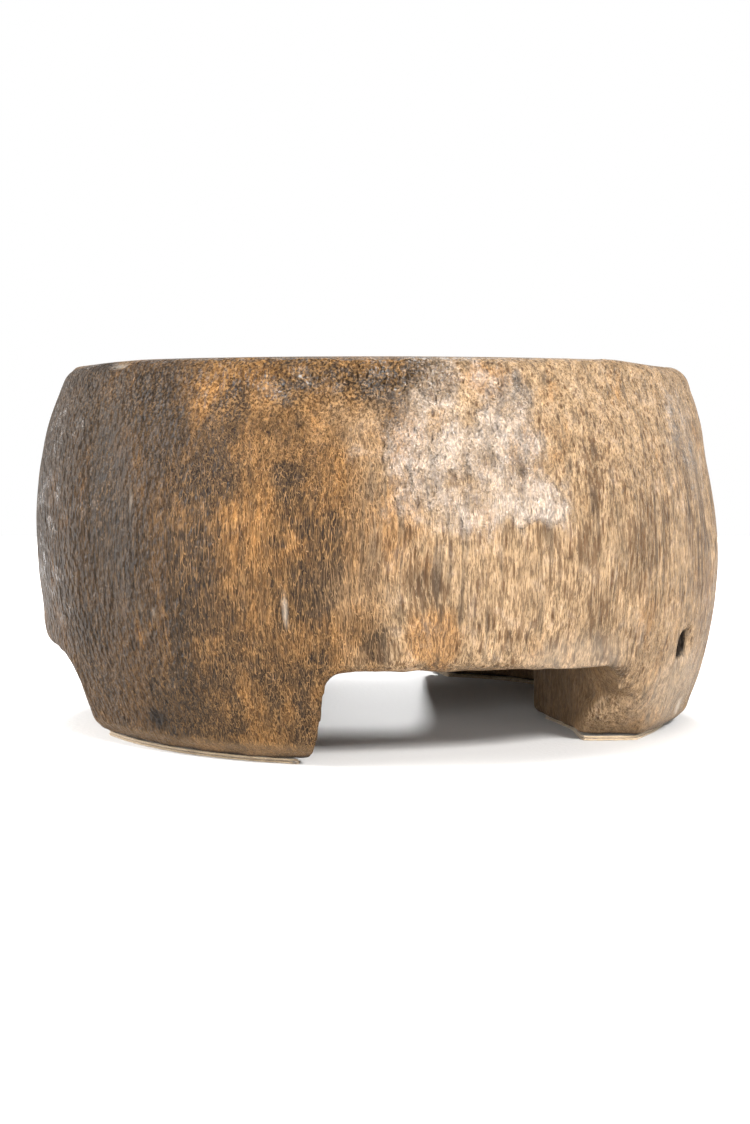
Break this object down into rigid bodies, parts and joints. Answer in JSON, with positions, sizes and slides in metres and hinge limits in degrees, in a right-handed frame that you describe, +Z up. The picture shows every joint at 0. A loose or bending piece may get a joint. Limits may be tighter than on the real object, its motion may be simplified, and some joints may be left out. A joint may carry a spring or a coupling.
{
  "type": "carved wooden bowl",
  "caption": "Deep barrel-shaped bowl hand-carved from one palm-wood log, with a thick rounded rim, a round hollow and short feet cut out of its base, each resting on a felt pad.",
  "frame": {"origin": "on the floor, under the middle of the bowl's outline", "axes": "+Z up, -Y towards the widest gap between the feet, which is the bowl's front, +X to the right of someone facing the front"},
  "size_m": [0.5, 0.4926, 0.259],
  "materials": {
    "palm_wood": "hand-cut fibrous wood with dark streaks, waxed to a satin",
    "felt": "pale beige pressed felt"
  },
  "bodies": {
    "root": {"bowl_body": "palm_wood", "foot_pad_front_left": "felt", "foot_pad_front_right": "felt", "foot_pad_rear_right": "felt", "foot_pad_rear_left": "felt"}
  },
  "joints": []
}
